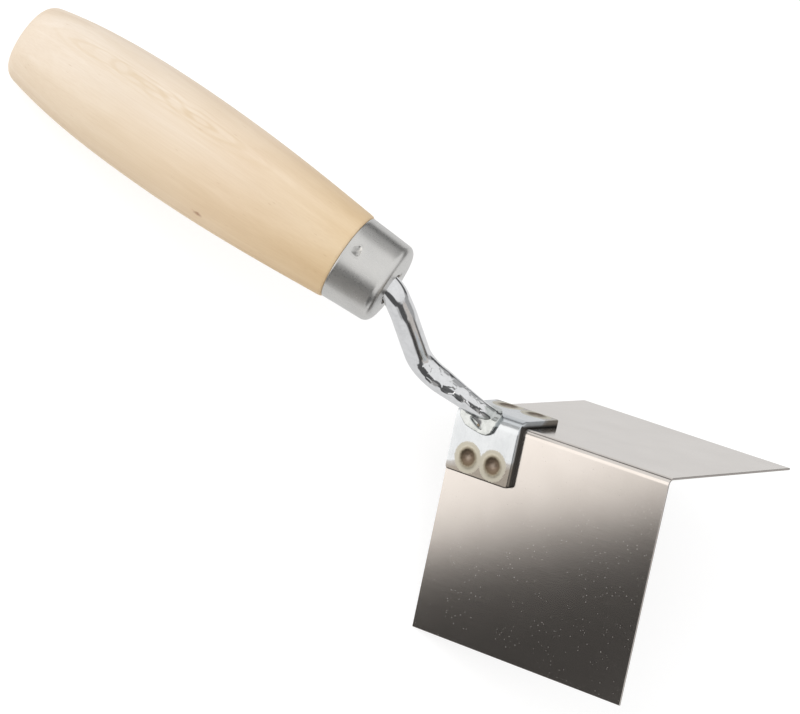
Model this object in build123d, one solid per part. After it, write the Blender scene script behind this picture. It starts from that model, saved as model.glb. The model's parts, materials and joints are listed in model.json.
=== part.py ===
"""Outside-corner trowel: a bent stainless blade that smooths the two faces of an outside wall
corner at once, carried on a cranked steel tang with a turned wooden handle.

Every piece is first drawn in the tool's working frame (millimetres): X runs along the blade's
ridge from heel to toe, Z points up between the two flanges, and XZ is the mirror plane. They are
then all laid down together the way the tool rests on a bench, on the butt of the handle and the
two heel corners of the blade, with the origin under the middle of the tool.
"""

from build123d import *
import os
from math import asin, atan2, cos, degrees, hypot, radians, sin, sqrt

# ---------------------------------------------------------------- blade
BLADE_LENGTH = 80.0  # along the ridge
BLADE_FLANGE = 72.0  # from the sharp ridge line to the edge of each flange
BLADE_SHEET = 0.7
BLADE_BEND = 2.2  # outer radius of the 90 degree bend

# ---------------------------------------------------------------- bracket
BRACKET_SHEET = 2.2
BRACKET_START = 1.0  # set back from the blade's heel
BRACKET_LENGTH = 24.4
BRACKET_REACH = 19.4  # down each flange, from the blade's sharp ridge line
BRACKET_CORNER = 1.2  # radius of its four free corners

# ---------------------------------------------------------------- spot welds
LEFT = 1  # the two flanges, by the sign of Y
RIGHT = -1
SPOT_WELDS = {  # flange, distance along the ridge, distance down the flange
    "right_rear": (RIGHT, 8.7, 13.9),
    "right_front": (RIGHT, 18.3, 13.9),
    "left_rear": (LEFT, 8.0, 15.2),
    "left_front": (LEFT, 18.8, 15.4),
}
WELD_RADIUS = 2.4
WELD_INTO_BRACKET = 1.1
WELD_INTO_BLADE = 0.4
PRINT_RADIUS = 2.9  # shallow print that the electrode leaves on both sides
PRINT_IN_BRACKET = 0.25
PRINT_IN_BLADE = 0.08

# ---------------------------------------------------------------- tang
ROD_RADIUS = 4.1
STEM_LENGTH = 72.0  # how far the tang reaches into the handle
STEM_POINT = 10.0  # length of its pointed end
STEM_TIP_RADIUS = 1.0
EAR_START = 0.3  # two flattened ears stop the tang from turning in the wood
EAR_LENGTH = 9.0
EAR_REACH = 5.3
EAR_THICKNESS = 1.6
# Corners of the rod's axis, (x, z), from the ferrule's face to the bracket, and how each is rounded.
CRANK_CORNERS = [(-8.7, 51.87), (-8.2, 40.5), (-9.4, 15.6), (2.0, 7.3), (8.0, 3.2)]
CRANK_RADII = [8.7, 30.0, 12.0, 25.0, 20.0]
NOSE_CENTRE = (12.6, 0.2)  # of the rod's round end, which is forged down onto the bracket, (x, z)
SKIRT_SHEET = 1.3  # forged skirts that lie on both flanges of the bracket
SKIRT_FLANGE = 12.0  # more than they reach, before they are cut to outline
SKIRT_START = 2.2
SKIRT_END = 17.3
SKIRT_RIGHT = [(3.3, -2.8), (5.9, -4.4), (10.3, -5.0), (13.9, -5.4), (16.3, -4.1)]  # (x, y)
SKIRT_LEFT = [(14.8, 2.8), (11.5, 4.2), (7.5, 4.2), (4.2, 2.8)]
TANG_WELD_X = 10.4
TANG_WELD_DOWN = 3.0
TANG_WELD_RADIUS = 1.0
TANG_WELD_DEPTH = 0.6  # into the skirt and into the bracket alike

# ---------------------------------------------------------------- ferrule
HANDLE_RISE = 29.8  # degrees between the handle and the ridge
FERRULE_FACE = (-8.7, 51.9)  # centre of the ferrule's face, (x, z)
FERRULE_LENGTH = 16.2
FERRULE_WALL = 0.9
FERRULE_FRONT = 13.4  # outer radius behind the rounded front edge
FERRULE_REAR = 14.15  # outer radius at the rear edge
FERRULE_EDGE = 2.6  # outer radius of the front edge
HOLE_WIDTH = 8.8  # oval hole for the tang, long enough to clear the inside of the bend
HOLE_ABOVE = 4.2  # from the handle's axis to the top of the hole
HOLE_BELOW = 7.8
NOTCH_REACH = 5.7  # two side notches take the ears of the tang
NOTCH_WIDTH = 2.0
PUNCH_ALONG = 12.9  # one punch mark nails the ferrule to the wood
PUNCH_TURN = -15.5  # degrees round from the top of the handle
PUNCH_RADIUS = 1.7
PUNCH_DEPTH = 0.75

# ---------------------------------------------------------------- handle
HANDLE_LENGTH = 137.9  # from the ferrule's face to where the butt's dome begins
HANDLE_SIDE = [(14.65, 17.4), (17.0, 46.0), (18.15, 79.5), (17.35, 105.5), (15.7, 121.5)]
SHOULDER_STEP = 0.9  # how far inside the side the rounded edge beside the ferrule begins
SHOULDER_RADIUS = 1.2
SHOULDER_SLOPE = radians(6)  # how far the side leans out just behind that edge
BUTT_ROUND = 5.0  # radius of the rounded butt edge
BUTT_CENTRE = 8.5  # radius of the circle that the rounding's centre runs on
BUTT_SLOPE = radians(12)  # how far the side already leans in where the rounding begins
BUTT_CROWN = 60.0  # radius of the slightly domed end face

# ---------------------------------------------------------------- frames
RISE = radians(HANDLE_RISE)
TO_BUTT = Vector(-cos(RISE), 0, sin(RISE))
HANDLE_TOP = Vector(sin(RISE), 0, cos(RISE))
FACE_CENTRE = Vector(FERRULE_FACE[0], 0, FERRULE_FACE[1])
# In the handle frame Z runs from the ferrule's face to the butt and X is the top of the handle.
HANDLE_FRAME = Plane(origin=FACE_CENTRE, x_dir=HANDLE_TOP, z_dir=TO_BUTT)
MIRROR_PLANE = Plane(origin=(0, 0, 0), x_dir=(1, 0, 0), z_dir=(0, -1, 0))


def ridge_frame(x, lift):
    """A plane across the tool at x, whose X and Y axes run down the flanges from a ridge line."""
    return Plane(origin=(x, 0, lift), x_dir=(0, -1, -1), z_dir=(1, 0, 0))


def flange_frame(side, x, down, lift):
    """A plane on one flange of the blade or above it, whose Z axis is the flange's outer normal."""
    normal = Vector(0, side, 1).normalized()
    down_slope = Vector(0, side, -1).normalized()
    origin = Vector(x, 0, 0) + down_slope * down + normal * lift
    return Plane(origin=origin, x_dir=(1, 0, 0), z_dir=normal)


# ---------------------------------------------------------------- shapes used more than once
def bent_sheet(start, length, flange, sheet, bend, lift):
    """Sheet bent to a right angle; flange and lift are those of the sharp outer ridge line."""
    outer = FilletPolyline((flange, 0), (0, 0), (0, flange), radius=bend)
    inner = FilletPolyline((flange, sheet), (sheet, sheet), (sheet, flange), radius=bend - sheet)
    ends = [Line(outer @ end, inner @ end) for end in (0, 1)]
    section = make_face([outer, inner, *ends])
    return extrude(ridge_frame(start, lift) * section, length)


def under_angle(flange, bend, lift):
    """Everything below the outer faces of an angle, to cut away what would sink into it."""
    outer = FilletPolyline((flange, 0), (0, 0), (0, flange), radius=bend)
    section = make_face([outer, Line(outer @ 1, outer @ 0)])
    return extrude(ridge_frame(-BLADE_LENGTH, lift) * section, 3 * BLADE_LENGTH)


def ball_over(radius, depth):
    """A ball whose underside reaches depth below Z = 0 and cuts that plane in a circle."""
    ball = (radius**2 + depth**2) / (2 * depth)
    return Pos(0, 0, ball - depth) * Sphere(ball)


def lens(radius, above, below):
    """A weld nugget: two shallow domes back to back on the plane where the sheets meet."""
    return ball_over(radius, below) & Rot(180, 0, 0) * ball_over(radius, above)


def dish(radius, depth):
    """What a round-tipped electrode or punch takes out of a surface near Z = 0."""
    return ball_over(radius, depth) & Cylinder(1.5 * radius, 2 * radius)


def cup(wall_offset, length):
    """The solid round of the ferrule, with its whole surface moved inwards by wall_offset."""
    front = FERRULE_FRONT - wall_offset
    rear = FERRULE_REAR - wall_offset
    outline = FilletPolyline(
        (0, wall_offset), (front, wall_offset), (rear, length), radius=FERRULE_EDGE - wall_offset
    )
    closing = Polyline((rear, length), (0, length), (0, wall_offset))
    return revolve(Plane.XZ * make_face([outline, closing]), Axis.Z)


# ---------------------------------------------------------------- blade, bracket and spot welds
BRACKET_LIFT = BRACKET_SHEET * sqrt(2)  # the bracket's sharp ridge line above the blade's
BRACKET_BEND = BLADE_BEND + BRACKET_SHEET  # so that the two bends nest


def make_spot_weld(side, x, down):
    """The nugget between bracket and blade, and the electrode's prints above and below it."""
    middle = flange_frame(side, x, down, 0)
    upper = flange_frame(side, x, down, BRACKET_SHEET)
    lower = flange_frame(side, x, down, -BLADE_SHEET)
    nugget = middle * lens(WELD_RADIUS, WELD_INTO_BRACKET, WELD_INTO_BLADE)
    prints = upper * dish(PRINT_RADIUS, PRINT_IN_BRACKET)
    prints += lower * Rot(180, 0, 0) * dish(PRINT_RADIUS, PRINT_IN_BLADE)
    return nugget, prints


def make_blade():
    return bent_sheet(0, BLADE_LENGTH, BLADE_FLANGE, BLADE_SHEET, BLADE_BEND, 0)


def make_bracket():
    reach = BRACKET_REACH + BRACKET_SHEET
    bracket = bent_sheet(BRACKET_START, BRACKET_LENGTH, reach, BRACKET_SHEET, BRACKET_BEND, BRACKET_LIFT)
    corners = [
        edge
        for edge in bracket.edges().filter_by(GeomType.LINE)
        if abs(edge.length - BRACKET_SHEET) < 1e-6 and abs(edge.tangent_at(0).X) < 1e-6
    ]
    return fillet(corners, BRACKET_CORNER)


# ---------------------------------------------------------------- tang
def make_grinding():
    """What is ground off the rod's end inside the handle to point it, in the handle frame."""
    wide = 2 * ROD_RADIUS - STEM_TIP_RADIUS
    outline = Polyline(
        (STEM_TIP_RADIUS, STEM_LENGTH),
        (wide, STEM_LENGTH - 2 * STEM_POINT),
        (wide, STEM_LENGTH + STEM_POINT),
        (STEM_TIP_RADIUS, STEM_LENGTH + STEM_POINT),
        close=True,
    )
    return revolve(Plane.XZ * make_face(outline), Axis.Z)


def make_rod():
    """The cranked rod, from its end inside the handle to its round nose on the bracket."""
    start = FACE_CENTRE + TO_BUTT * STEM_LENGTH
    line = FilletPolyline((start.X, start.Z), *CRANK_CORNERS, NOSE_CENTRE, radius=CRANK_RADII)
    path = MIRROR_PLANE * line
    section = Plane(origin=path @ 0, z_dir=path % 0) * Circle(ROD_RADIUS)
    nose = Pos(NOSE_CENTRE[0], 0, NOSE_CENTRE[1]) * Sphere(ROD_RADIUS)
    return sweep(section, path=path) + nose


def make_skirts():
    """The forged saddle: sheet-thin skirts that follow the bracket's two flanges."""
    lift = BRACKET_LIFT + SKIRT_SHEET * sqrt(2)
    bend = BRACKET_BEND + SKIRT_SHEET
    sheet = bent_sheet(0, BLADE_LENGTH, SKIRT_FLANGE, SKIRT_SHEET, bend, lift)
    leaf = Spline((SKIRT_START, 0), *SKIRT_RIGHT, (SKIRT_END, 0), *SKIRT_LEFT, periodic=True)
    return sheet & extrude(Pos(0, 0, -BLADE_LENGTH) * make_face(leaf), 2 * BLADE_LENGTH)


def make_tang(angle_below):
    ears = Pos(0, 0, EAR_START + EAR_LENGTH / 2) * Box(EAR_THICKNESS, 2 * EAR_REACH, EAR_LENGTH)
    tang = make_rod() - HANDLE_FRAME * make_grinding()
    return tang + HANDLE_FRAME * ears + make_skirts() - angle_below


def make_tang_weld(side):
    """The nugget between one skirt and the bracket."""
    frame = flange_frame(side, TANG_WELD_X, TANG_WELD_DOWN, BRACKET_SHEET)
    return frame * lens(TANG_WELD_RADIUS, TANG_WELD_DEPTH, TANG_WELD_DEPTH)


# ---------------------------------------------------------------- ferrule and handle
def make_punch_mark():
    """The punch that dents the ferrule, in the handle frame."""
    side = FERRULE_FRONT + (FERRULE_REAR - FERRULE_FRONT) * PUNCH_ALONG / FERRULE_LENGTH
    across = Rot(0, 0, PUNCH_TURN) * Pos(side, 0, PUNCH_ALONG) * Rot(0, 90, 0)
    return across * dish(PUNCH_RADIUS, PUNCH_DEPTH)


def make_ferrule():
    shell = cup(0, FERRULE_LENGTH) - cup(FERRULE_WALL, FERRULE_LENGTH)
    hole = Pos((HOLE_ABOVE - HOLE_BELOW) / 2, 0, 0) * SlotOverall(HOLE_ABOVE + HOLE_BELOW, HOLE_WIDTH)
    notches = Rectangle(NOTCH_WIDTH, 2 * NOTCH_REACH)
    return shell - extrude(hole + notches, 2 * FERRULE_WALL) - make_punch_mark()


def make_handle(tang):
    """The turned wooden grip, with a spigot that fills the ferrule and a bore for the tang."""
    round_centre = Vector(BUTT_CENTRE, HANDLE_LENGTH - BUTT_ROUND)
    crown_turn = asin(BUTT_CENTRE / (BUTT_CROWN - BUTT_ROUND))
    crown_centre = round_centre.Y - (BUTT_CROWN - BUTT_ROUND) * cos(crown_turn)
    rim_end = radians(90) - crown_turn
    rim = [
        round_centre + Vector(cos(turn), sin(turn)) * BUTT_ROUND
        for turn in (BUTT_SLOPE, (BUTT_SLOPE + rim_end) / 2, rim_end)
    ]
    crown = [
        Vector(BUTT_CROWN * sin(turn), crown_centre + BUTT_CROWN * cos(turn))
        for turn in (crown_turn, crown_turn / 2, 0)
    ]
    shoulder = HANDLE_SIDE[0]
    leans = [(sin(slope), cos(slope)) for slope in (SHOULDER_SLOPE, -BUTT_SLOPE)]
    side = Spline(*HANDLE_SIDE, rim[0], tangents=leans)
    butt = [ThreePointArc(*rim), ThreePointArc(*crown)]
    step = (shoulder[0] - SHOULDER_STEP, FERRULE_LENGTH)
    neck = RadiusArc(step, shoulder, -SHOULDER_RADIUS)
    closing = Polyline(crown[2], (0, FERRULE_LENGTH), step)
    grip = revolve(Plane.XZ * make_face([side, *butt, closing, neck]), Axis.Z)
    return HANDLE_FRAME * (grip + cup(FERRULE_WALL, FERRULE_LENGTH)) - tang


# ---------------------------------------------------------------- laying the tool down
def bench_rest():
    """Turns the working frame until the heel corners and the butt's rounded rim touch Z = 0."""
    heel = Vector(0, 0, -(BLADE_FLANGE + BLADE_SHEET) / sqrt(2))
    rim = FACE_CENTRE + TO_BUTT * (HANDLE_LENGTH - BUTT_ROUND) - HANDLE_TOP * BUTT_CENTRE
    across = rim - heel
    turn = atan2(across.Z, -across.X) - asin(BUTT_ROUND / hypot(across.X, across.Z))
    return Rot(0, -degrees(turn), 0)


def main():
    parts = {"blade": make_blade(), "bracket": make_bracket()}
    below = under_angle(BLADE_FLANGE, BRACKET_BEND, BRACKET_LIFT)
    parts["tang"] = make_tang(below)
    parts["ferrule"] = HANDLE_FRAME * make_ferrule()
    parts["handle"] = make_handle(parts["tang"])
    for name, place in SPOT_WELDS.items():
        nugget, prints = make_spot_weld(*place)
        parts["bracket"] -= nugget + prints
        parts["blade"] -= nugget + prints
        parts[f"spot_weld_{name}"] = nugget
    for name, side in {"left": LEFT, "right": RIGHT}.items():
        nugget = make_tang_weld(side)
        parts["tang"] -= nugget
        parts["bracket"] -= nugget
        parts[f"tang_weld_{name}"] = nugget

    rest = bench_rest()
    box = Compound([rest * part for part in parts.values()]).bounding_box()
    placing = Pos(-box.center().X, -box.center().Y, -box.min.Z) * rest
    os.makedirs("parts", exist_ok=True)
    for name, part in parts.items():
        export_step(placing * part, f"parts/{name}.step")
    print("laid down at", placing.position, "turned", placing.orientation, "size", box.size)


main()
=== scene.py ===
"""Looks of the outside-corner trowel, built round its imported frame. All lengths are in metres.

Blade, bracket and tang are drawn in the tool frame: X along the ridge from heel to toe, Z up between
the two flanges. Ferrule and handle are drawn in the handle frame: Z from the ferrule's face to the
butt, X towards the top of the handle. Both frames come from the record's mounts.
"""

import json
from math import acos, atan2, cos, degrees, hypot, pi, radians, sin, sqrt

import bmesh
import bpy
import numpy as np
from mathutils import Matrix, Vector, noise


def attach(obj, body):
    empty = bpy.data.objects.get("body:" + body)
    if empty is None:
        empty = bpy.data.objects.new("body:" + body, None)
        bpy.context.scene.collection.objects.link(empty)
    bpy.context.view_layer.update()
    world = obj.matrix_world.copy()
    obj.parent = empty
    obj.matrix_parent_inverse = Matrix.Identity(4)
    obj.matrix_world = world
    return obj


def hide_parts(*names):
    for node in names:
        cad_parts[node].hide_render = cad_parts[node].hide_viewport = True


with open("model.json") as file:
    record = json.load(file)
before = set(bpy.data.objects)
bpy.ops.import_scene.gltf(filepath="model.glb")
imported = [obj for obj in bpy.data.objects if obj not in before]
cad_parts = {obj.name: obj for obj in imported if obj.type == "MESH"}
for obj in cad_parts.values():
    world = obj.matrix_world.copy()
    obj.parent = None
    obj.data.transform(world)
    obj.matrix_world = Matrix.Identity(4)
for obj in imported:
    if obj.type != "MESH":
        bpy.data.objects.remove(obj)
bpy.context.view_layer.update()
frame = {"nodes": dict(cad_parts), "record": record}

# -------------------------------- sizes
MM = 0.001
HALF = sqrt(0.5)
LEFT = 1
RIGHT = -1

BLADE_LENGTH = 80 * MM
BLADE_FLANGE = 72 * MM
BLADE_SHEET = 0.7 * MM
BLADE_BEND = 2.2 * MM
BLADE_WAVE = 0.05 * MM
BLADE_BEVEL = 0.07 * MM

BRACKET_SHEET = 2.2 * MM
BRACKET_START = 1.0 * MM
BRACKET_LENGTH = 24.4 * MM
BRACKET_REACH = 19.4 * MM
BRACKET_CORNER = 1.2 * MM
BRACKET_WAVE = 0.03 * MM
BRACKET_BEVEL = 0.12 * MM
BRACKET_LIFT = BRACKET_SHEET * sqrt(2)
BRACKET_BEND = BLADE_BEND + BRACKET_SHEET

# (side, along the ridge, down the flange from the blade's virtual corner), in millimetres
SPOT_WELDS = [(RIGHT, 8.7, 13.9), (RIGHT, 18.3, 13.9), (LEFT, 8.0, 15.2), (LEFT, 18.8, 15.4)]
# the electrodes' prints: shallow ones under the blade, and craters with a raised rim on the bracket
PRINT_RADIUS = 2.9 * MM
PRINT_DEPTH = 0.09 * MM
CRATER_RADIUS = 2.7 * MM
CRATER_DEPTH = 0.34 * MM
CRATER_ROUGH_RADIUS = 2.6 * MM
CRATER_ROUGHNESS = 0.05 * MM
RIM_RADIUS = 3.0 * MM
RIM_WIDTH = 0.8 * MM
RIM_HEIGHT = 0.05 * MM
# (width, drop) of the edges that the shear drew down: the toe end, and the others
TOE_ROLL = (0.6 * MM, 0.35 * MM)
EDGE_ROLL = (0.5 * MM, 0.14 * MM)

ROD_RADIUS = 4.1 * MM
STEM_START = 9 * MM  # how far behind the ferrule's face the drawn rod begins
# corners and bend radii of the crank, as (x, z) in the tool frame and in millimetres
CRANK_CORNERS = [(-8.7, 51.87), (-8.2, 40.5), (-9.4, 15.6), (2.0, 7.3), (8.0, 3.2)]
CRANK_RADII = [8.7, 30.0, 12.0, 25.0, 20.0]
NOSE_CENTRE = (12.6, 0.2)
NOSE_PAST = 0.55  # how far the nose runs past its centre, in rod radii
# shares of the rod's length where its forged end is squeezed and where its nose closes
SQUEEZE_START = 0.70
SQUEEZE_RUN = 0.2
NOSE_START = 0.955
NOSE_RUN = 0.045
# the cold shut in the near skirt, as (along the ridge, down the flange) in millimetres
SLIT_ENDS = [(7.4, 3.4), (12.0, 6.0)]
# points along the cold shut round which the rod's shade is painted
SLIT_POINTS = [(8.6, 4.1), (9.7, 4.7), (10.8, 5.3)]
SLIT_DEPTH = 0.8 * MM
SLIT_HALF_WIDTH = 0.75 * MM
STRUCK_SIDE = Vector((0.50, -0.35, 0.79)).normalized()
FORGED_RUN = Vector((0.85, 0, -0.53)).normalized()
SCAR_SIZE = (3.3, 2.1, 2.3)  # along, across and up, in millimetres
SCAR_DEPTH = 0.36 * MM
DULL_DEPTH = 0.03 * MM
FORGE_VOXEL = 0.2 * MM
SKIRT_SHEET = 1.2 * MM
SKIRT_ROOT = 0.4 * MM  # how far the skirts run into the rod and bracket, to join them
# half-widths of the skirts along the ridge: (x, reach on the right, reach on the left), in millimetres
SKIRT_OUTLINE = [(2.2, 0.0, 0.0), (3.3, 2.8, 2.4), (5.9, 4.4, 3.7), (8.0, 4.8, 4.2),
                 (10.3, 5.1, 4.3), (12.4, 5.35, 4.0), (14.2, 5.3, 3.2), (15.8, 4.5, 2.0),
                 (16.9, 2.6, 1.0), (17.4, 0.0, 0.0)]

FERRULE_LENGTH = 16.2 * MM
FERRULE_WALL = 0.9 * MM
FERRULE_FRONT = 13.4 * MM
FERRULE_REAR = 14.15 * MM
FERRULE_EDGE = 2.6 * MM
# the oval hole and its two side notches, in millimetres from the handle's axis
HOLE_LINE = (-3.4, -0.2)
HOLE_RADIUS = 4.4
NOTCH_HALF_WIDTH = 1.0
NOTCH_REACH = 5.7
PUNCH_ALONG = 12.9 * MM
PUNCH_TURN = radians(-15.5)
PUNCH_RADIUS = 1.7 * MM
PUNCH_DEPTH = 0.95 * MM
BURR_HEIGHT = 0.10 * MM
BURR_WIDTH = 0.55 * MM
PUNCH_REACH = 2.6 * MM  # half the side of the finely meshed square round the mark

HANDLE_LENGTH = 137.9 * MM
GRIP_MIDDLE = 79.5 * MM  # where the record's hand_grip mount sits on the handle's axis
HANDLE_SIDE = [(14.65, 17.4), (17.0, 46.0), (18.15, 79.5), (17.35, 105.5), (15.7, 121.5)]
BUTT_ROUND = 5 * MM
BUTT_CENTRE = 8.5 * MM
BUTT_SLOPE = radians(12)
BUTT_CROWN = 60 * MM
SPIGOT_START = 1.6 * MM
SPIGOT_NOSE = 8.8 * MM
SHOULDER_ROUND = 0.9 * MM
SHOULDER_GAP = 1.2 * MM
LATHE_DEPTH = 0.018 * MM
SANDING_DEPTH = 0.06 * MM

# curls in the wood's grain, at these places along the handle, in millimetres
CURLS = (116, 94, 74)
# (turn in degrees, along and size in millimetres, colour) of each knot
KNOTS = [(-85.7, 60.5, 1.15, (0.30, 0.10, 0.04)), (-84.5, 62.3, 0.8, (0.60, 0.33, 0.17)),
         (28.0, 128.0, 1.3, (0.70, 0.36, 0.12))]
KNOT_OUT = 17.4  # how far a knot's middle is from the handle's axis, in millimetres
BAND_SLOPE = 0.23  # how the bracket's dull band widens from heel to toe

CAMERA_PLACE = (-0.18765, -0.5399, 1.07095)
CAMERA_TARGET = (0.01971, -0.00016, 0.030)
CAMERA_ROLL = radians(62.36)
CAMERA_LENS = 171.7
CAMERA_SENSOR = 36

FLOOR_SIZE = 12
FLOOR_GREY = 0.45
FLOOR_GLOW = 0.66
KEY_PLACE = (-0.75, -0.25, 0.95)
KEY_TARGET = (-0.02, 0, 0.04)
KEY_SIDE = 0.8
KEY_RADIANCE = 1.95

# grey of the light tent against half the direction's height plus a half
TENT = [(0.0, 0.80), (0.42, 0.86), (0.455, 0.10), (0.59, 0.10), (0.62, 0.40), (0.66, 0.90), (1.0, 0.98)]
# round patches of the tent: middle, how the patch joins the tent, and its grey against the cosine
TENT_PATCHES = [((0.45, -0.87, 0.06), "MINIMUM", [(0.915, 1.0), (0.94, 0.10)]),
                ((-0.12, -0.95, 0.28), "MINIMUM", [(0.90, 1.0), (0.95, 0.14)]),
                ((-0.20, 0.85, 0.48), "MINIMUM", [(0.92, 1.0), (0.97, 0.46)]),
                ((0.90, 0.42, 0.08), "MAXIMUM", [(0.90, 0.0), (0.94, 0.42)]),
                ((-1.0, 0.05, 0.08), "MAXIMUM", [(0.80, 0.0), (0.88, 1.0)])]

TO_CARD = Vector((-0.7071, -0.6929, -0.1410)).normalized()
CARD_DOWN = (0.4376, -0.6662, -0.6039)  # the way from light to dark, in the tool frame
CARD_TINT = (1, 0.975, 0.95)
CARD_WIDTH = 0.36
CARD_HEIGHT = 0.62
CARD_DISTANCE = 0.35
# (millimetres above the card's middle, brightness)
CARD_GLOW = [(-200, 0.4), (-80, 0.06), (-37, 0.055), (-27, 0.05), (-20, 0.10), (-12, 0.38), (-4, 0.92),
             (3, 1.28), (12, 1.33), (26, 1.5)]

# -------------------------------- frames
mounts = {mount["name"]: mount for mount in frame["record"]["mounts"]}


def frame_matrix(origin, x_axis, y_axis, z_axis):
    """The matrix that carries a piece from its own frame to the row frame."""
    rotation = Matrix((x_axis, y_axis, z_axis)).transposed()
    return Matrix.Translation(origin) @ rotation.to_4x4()


def tool_frame():
    """The tool frame's matrix, from the mounts in the middle of the two working faces."""
    left, right = (mounts[f"{side}_working_face"] for side in ("left", "right"))
    up = -(Vector(left["axis"]) + Vector(right["axis"])).normalized()
    side = Vector((0, 1, 0))
    ridge = side.cross(up)
    middle = (Vector(left["pos_m"]) + Vector(right["pos_m"])) / 2
    depth = (BLADE_FLANGE / 2 + BLADE_SHEET) * HALF
    origin = middle - ridge * BLADE_LENGTH / 2 + up * depth
    return frame_matrix(origin, ridge, side, up)


def handle_frame():
    """The handle frame's matrix, from the grip's mount."""
    grip = mounts["hand_grip"]
    to_butt = Vector(grip["axis"])
    side = Vector((0, 1, 0))
    origin = Vector(grip["pos_m"]) - to_butt * GRIP_MIDDLE
    return frame_matrix(origin, side.cross(to_butt), side, to_butt)


TOOL = tool_frame()
HANDLE = handle_frame()


# -------------------------------- mesh helpers
def new_object(name, vertices, faces, matrix):
    mesh = bpy.data.meshes.new(name)
    mesh.from_pydata([tuple(v) for v in vertices], [], faces)
    mesh.validate()
    mesh.update()
    obj = bpy.data.objects.new(name, mesh)
    bpy.context.scene.collection.objects.link(obj)
    obj.matrix_world = matrix
    return obj


def loop_faces(rows, around):
    """Quads between neighbouring closed loops of points, numbered row by row."""
    faces = []
    for row in range(rows - 1):
        for i in range(around):
            j = (i + 1) % around
            here, above = row * around, (row + 1) * around
            faces.append((here + i, here + j, above + j, above + i))
    return faces


def face_outwards(obj):
    mesh = bmesh.new()
    mesh.from_mesh(obj.data)
    bmesh.ops.recalc_face_normals(mesh, faces=mesh.faces)
    mesh.to_mesh(obj.data)
    mesh.free()


def smooth_by_angle(obj, angle):
    """Smooth shading, with edges sharper than the angle kept crisp."""
    for face in obj.data.polygons:
        face.use_smooth = True
    mesh = bmesh.new()
    mesh.from_mesh(obj.data)
    for edge in mesh.edges:
        edge.smooth = len(edge.link_faces) == 2 and edge.calc_face_angle() < angle
    mesh.to_mesh(obj.data)
    mesh.free()


def finer(low, high, step, focus=()):
    """Stations from low to high, a step apart, and closer inside each (from, to, step) in focus."""
    stations = set(np.linspace(low, high, max(2, round((high - low) / step) + 1)))
    for start, end, fine in focus:
        stations |= set(np.linspace(start, end, max(2, round((end - start) / fine) + 1)))
    kept = []
    for station in sorted(s for s in stations if low <= s <= high):
        if not kept or station - kept[-1] > 0.02 * MM:
            kept.append(station)
    return kept


def dish_depth(distance, radius, depth):
    """How deep a round-tipped tool's print is at that distance from its middle."""
    return depth * max(0.0, 1 - (distance / radius) ** 2)


# -------------------------------- bent sheets
def bent_point(x, down, offset, bend, lift):
    """A point on an angle's outer face or offset from it. down is signed by the flange's side."""
    side = LEFT if down > 0 else RIGHT
    if abs(down) >= bend:
        along = abs(down)
        return (x, side * HALF * (along + offset), lift + HALF * (offset - along))
    turn = down / bend * pi / 4
    reach = bend + offset
    return (x, reach * sin(turn), lift - bend * sqrt(2) + reach * cos(turn))


def sheet_object(name, downs, ends, stations, offsets, bend, lift, matrix, bevel):
    """Bent sheet with bevelled edges. ends(down) gives its two ends there, stations run from 0 to 1
    between them, and offsets(x, down) gives its outer and inner faces."""
    rows = []
    last = len(downs) - 1
    for index, down in enumerate(downs):
        start, end = ends(down)
        xs = [start + (end - start) * station for station in stations]
        shrink = bevel if index in (0, last) else 0
        loop = []
        for layer, order in ((0, xs), (1, xs[::-1])):
            for x in order:
                at_end = x in (xs[0], xs[-1])
                inset = bevel if at_end else 0
                offset = offsets(x, down)[layer] + (inset + shrink) * (1 if layer else -1)
                loop.append(bent_point(x, down, offset, bend, lift))
        rows.append(loop)
    around = len(rows[0])
    faces = loop_faces(len(rows), around)
    half = around // 2
    for base in (0, last * around):
        for i in range(half - 1):
            faces.append((base + i, base + i + 1, base + around - 2 - i, base + around - 1 - i))
    vertices = [point for loop in rows for point in loop]
    obj = new_object(name, vertices, faces, matrix)
    face_outwards(obj)
    return obj


def unit_stations(length, values):
    return [value / length for value in values]


# -------------------------------- blade
def blade_offsets(x, down):
    """Rolled sheet is never quite flat: a slow waviness, and the faint prints of the weld electrodes."""
    wave = BLADE_WAVE * noise.noise(Vector((x * 28, down * 28, 3.1)))
    wave *= min(1.0, max(0.0, (abs(down) - BLADE_BEND) / (8 * MM)))
    below = -BLADE_SHEET + wave
    for side, weld_x, weld_down in SPOT_WELDS:
        if side * down > 0:
            distance = hypot(x - weld_x * MM, abs(down) - weld_down * MM)
            below += dish_depth(distance, PRINT_RADIUS, PRINT_DEPTH)
    return wave, below


def make_blade():
    """The bent sheet, with a finer mesh round the welds, along the bend and at the edges."""
    bevel = BLADE_BEVEL
    focus = [(-20 * MM, -9 * MM, 0.6 * MM), (9 * MM, 20 * MM, 0.6 * MM)]
    focus.append((-BLADE_BEND, BLADE_BEND, BLADE_BEND / 9))
    focus += [(-BLADE_FLANGE, -BLADE_FLANGE + bevel, bevel), (BLADE_FLANGE - bevel, BLADE_FLANGE, bevel)]
    downs = finer(-BLADE_FLANGE, BLADE_FLANGE, 2.4 * MM, focus)
    xs = finer(0, BLADE_LENGTH, 2 * MM, [(0, bevel, bevel), (5 * MM, 22 * MM, 0.6 * MM),
                                        (BLADE_LENGTH - bevel, BLADE_LENGTH, bevel)])
    stations = unit_stations(BLADE_LENGTH, xs)
    blade = sheet_object("bent_blade", downs, lambda down: (0, BLADE_LENGTH), stations, blade_offsets,
                         BLADE_BEND, 0, TOOL, bevel)
    smooth_by_angle(blade, radians(28))
    return blade


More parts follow.
